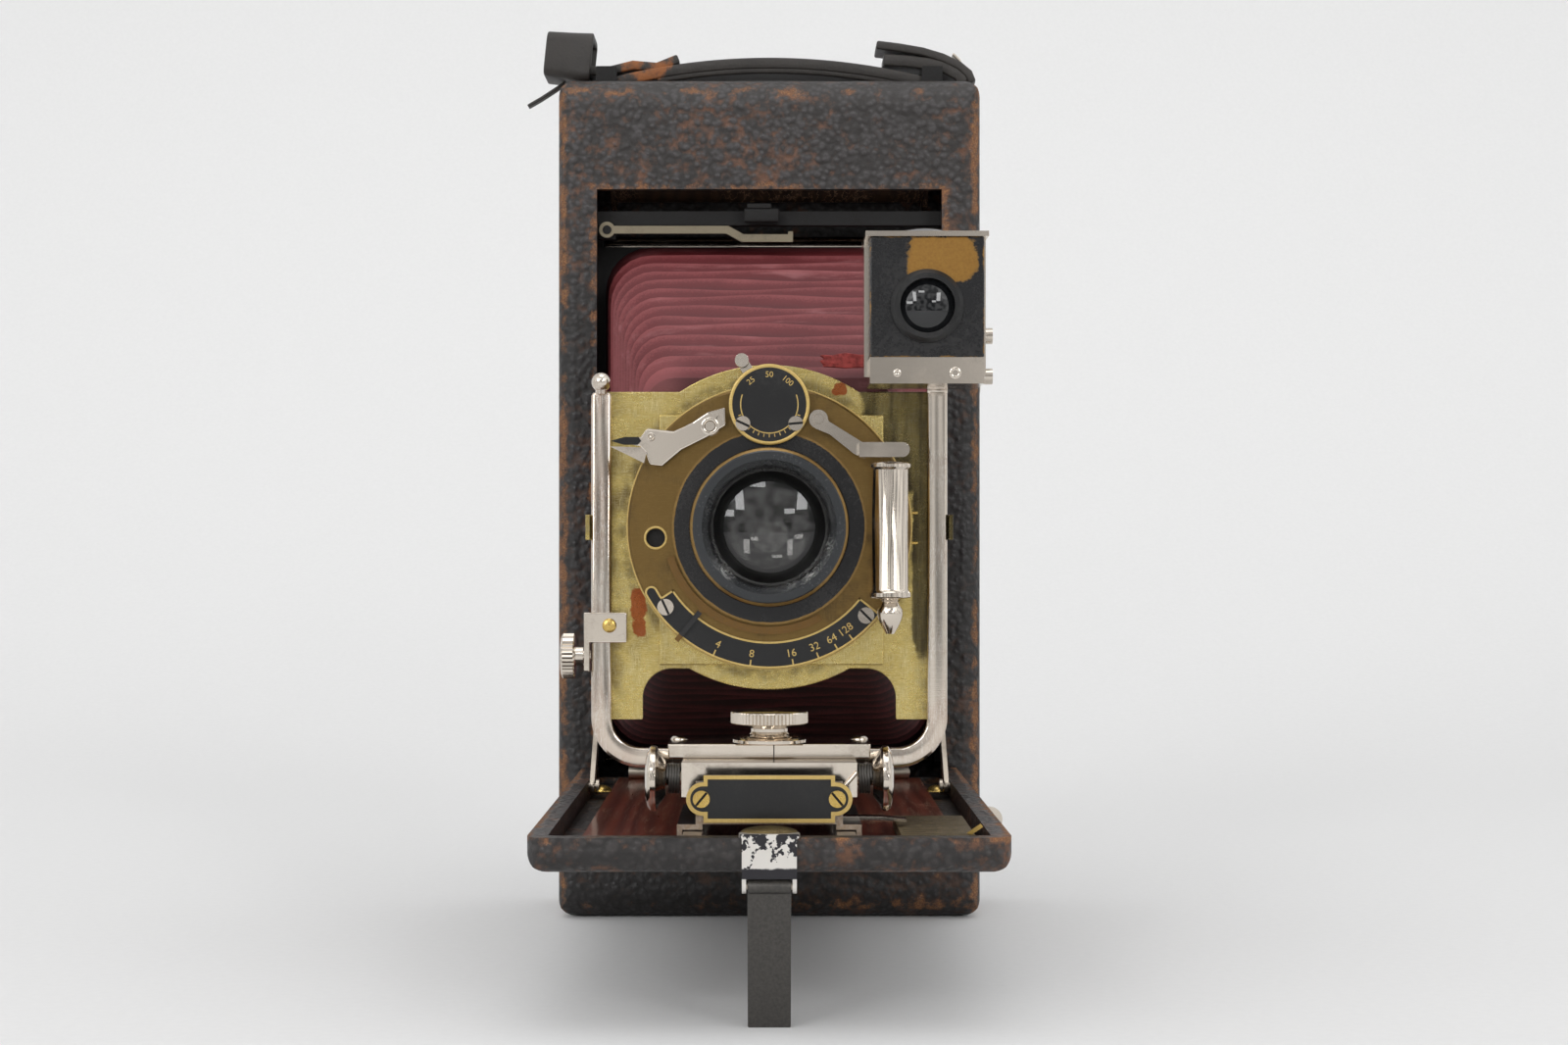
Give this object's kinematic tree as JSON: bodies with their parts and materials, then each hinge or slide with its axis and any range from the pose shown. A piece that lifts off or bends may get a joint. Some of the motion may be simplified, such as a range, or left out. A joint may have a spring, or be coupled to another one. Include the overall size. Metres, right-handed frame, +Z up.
{
  "type": "folding bed camera",
  "caption": "Leather covered folding camera with a drop bed, pleated bellows, brass shutter on a sliding U frame, turning finder and roll film chambers.",
  "frame": {"origin": "centre of the body's base, on the surface that the camera stands on", "axes": "+X to the right and +Y to the rear as seen from before the lens, +Z up; the lens looks along -Y"},
  "size_m": [0.1405, 0.2208, 0.2579],
  "materials": {
    "body_leather": "grained, worn to tan at the edges",
    "strap_leather": "smooth, cracked",
    "bellows_leather": "matte, pleated",
    "mahogany": "polished",
    "nickel": "polished, scuffed",
    "brass": "lacquer worn, tarnished",
    "black_enamel": "gloss, chipped",
    "dark_steel": "dull",
    "spool_wood": "matte, with paper",
    "lens_glass": "polished",
    "red_celluloid": "gloss"
  },
  "bodies": {
    "case": {"case_shell": "body_leather", "film_gate": "black_enamel", "spool_pins": "nickel", "catch_bar": "black_enamel", "handle_strap": "strap_leather", "strap_lugs": "nickel", "tripod_bushes": "nickel", "bed_tray": "body_leather", "bed_panel": "mahogany", "bed_hinge": "nickel", "hinge_pins": "nickel", "track_rails": "nickel", "bed_braces": "nickel", "bed_clip": "nickel", "focus_plate": "brass", "bellows": "bellows_leather"},
    "upper_roller": {"upper_roller": "nickel"},
    "lower_roller": {"lower_roller": "nickel"},
    "take_up": {"take_up_spool": "spool_wood", "winding_key": "nickel"},
    "supply": {"supply_spool": "spool_wood"},
    "back": {"back_cover": "body_leather", "red_window": "red_celluloid"},
    "back_catch": {"back_catch": "nickel"},
    "door_catch": {"door_catch": "nickel"},
    "kickstand": {"kickstand": "dark_steel"},
    "carriage": {"carriage_base": "black_enamel", "carriage_block": "nickel", "cross_bar": "nickel", "front_plate": "black_enamel", "plate_screws": "brass", "focus_pointer": "nickel", "button_springs": "dark_steel"},
    "left_button": {"left_button": "nickel"},
    "right_button": {"right_button": "nickel"},
    "shift_screw": {"shift_screw": "nickel"},
    "standard": {"u_frame": "nickel"},
    "finder": {"finder_cradle": "nickel", "finder_box": "black_enamel", "finder_bezel": "black_enamel", "finder_lenses": "lens_glass"},
    "front": {"lens_board": "brass", "rise_bracket": "nickel", "shutter_plate": "brass", "shutter_drum": "brass", "lens_bezel": "black_enamel", "lens_glass": "lens_glass", "rear_cell": "black_enamel", "aperture_scale": "black_enamel", "shutter_screws": "nickel", "speed_dial": "black_enamel", "air_cylinder": "nickel"},
    "rise_screw": {"rise_screw": "nickel"},
    "aperture": {"aperture_pointer": "brass", "iris_blades": "dark_steel"},
    "speed_selector": {"speed_selector": "nickel"},
    "finger_lever": {"finger_lever": "nickel"},
    "release_lever": {"release_lever": "nickel"},
    "piston": {"piston": "dark_steel"}
  },
  "joints": [
    {"name": "carriage_slide", "type": "slide", "parent": "case", "child": "carriage", "axis": [0, 1, 0], "range_m": [0, 0.08], "deforming": ["bellows"]},
    {"name": "left_button_push", "type": "slide", "parent": "carriage", "child": "left_button", "axis": [1, 0, 0], "range_m": [0, 0.0022], "stiffness_N_per_m": 400, "deforming": ["button_springs"]},
    {"name": "right_button_push", "type": "slide", "parent": "carriage", "child": "right_button", "axis": [-1, 0, 0], "range_m": [0, 0.0022], "stiffness_N_per_m": 400, "deforming": ["button_springs"]},
    {"name": "shift_screw_turn", "type": "hinge", "parent": "carriage", "child": "shift_screw", "pos_m": [0, -0.158, 0.06], "axis": [0, 0, 1], "continuous": true},
    {"name": "cross_shift", "type": "slide", "parent": "carriage", "child": "standard", "axis": [1, 0, 0], "range_m": [-0.0045, 0.0045]},
    {"name": "finder_turn", "type": "hinge", "parent": "standard", "child": "finder", "pos_m": [0.03963, -0.15, 0.1466], "axis": [0, 1, 0], "range_deg": [0, 90]},
    {"name": "board_rise", "type": "slide", "parent": "standard", "child": "front", "axis": [0, 0, 1], "range_m": [-0.005, 0.005]},
    {"name": "rise_screw_turn", "type": "hinge", "parent": "front", "child": "rise_screw", "pos_m": [-0.046, -0.15, 0.0811], "axis": [1, 0, 0], "continuous": true},
    {"name": "aperture_turn", "type": "hinge", "parent": "front", "child": "aperture", "pos_m": [0, -0.16, 0.1115], "axis": [0, -1, 0], "range_deg": [0, 75.9]},
    {"name": "speed_select", "type": "hinge", "parent": "front", "child": "speed_selector", "pos_m": [0, -0.161, 0.1398], "axis": [0, -1, 0], "range_deg": [-20, 20]},
    {"name": "finger_lever_press", "type": "hinge", "parent": "front", "child": "finger_lever", "pos_m": [-0.0137, -0.1627, 0.1348], "axis": [0, -1, 0], "range_deg": [0, 8], "stiffness_Nm_per_rad": 0.04},
    {"name": "release_press", "type": "hinge", "parent": "front", "child": "release_lever", "pos_m": [0.0114, -0.1627, 0.1365], "axis": [0, 1, 0], "range_deg": [0, 9]},
    {"name": "piston_stroke", "type": "slide", "parent": "front", "child": "piston", "axis": [0, 0, -1], "range_m": [0, 0.0026], "stiffness_N_per_m": 100},
    {"name": "kickstand_fold", "type": "hinge", "parent": "case", "child": "kickstand", "pos_m": [0, -0.1939, 0.0327], "axis": [1, 0, 0], "range_deg": [0, 71]},
    {"name": "back_pull", "type": "slide", "parent": "case", "child": "back", "axis": [0, 1, 0], "range_m": [0, 0.06]},
    {"name": "back_catch_push", "type": "slide", "parent": "case", "child": "back_catch", "axis": [0, -1, 0], "range_m": [0, 0.004], "stiffness_N_per_m": 200},
    {"name": "take_up_wind", "type": "hinge", "parent": "case", "child": "take_up", "pos_m": [0, 0.003, 0.022], "axis": [1, 0, 0], "continuous": true},
    {"name": "supply_turn", "type": "hinge", "parent": "case", "child": "supply", "pos_m": [0, 0.003, 0.219], "axis": [1, 0, 0], "continuous": true},
    {"name": "upper_roller_turn", "type": "hinge", "parent": "case", "child": "upper_roller", "pos_m": [0, 0.0045, 0.1952], "axis": [1, 0, 0], "continuous": true},
    {"name": "lower_roller_turn", "type": "hinge", "parent": "case", "child": "lower_roller", "pos_m": [0, 0.0045, 0.0458], "axis": [1, 0, 0], "continuous": true},
    {"name": "door_catch_press", "type": "hinge", "parent": "case", "child": "door_catch", "pos_m": [-0.0467, -0.018, 0.1977], "axis": [0, 1, 0], "range_deg": [0, 4], "stiffness_Nm_per_rad": 0.1}
  ],
  "couplings": [
    {"joint": "release_press", "follows": "piston_stroke", "rad_per_m": 56.8}
  ]
}
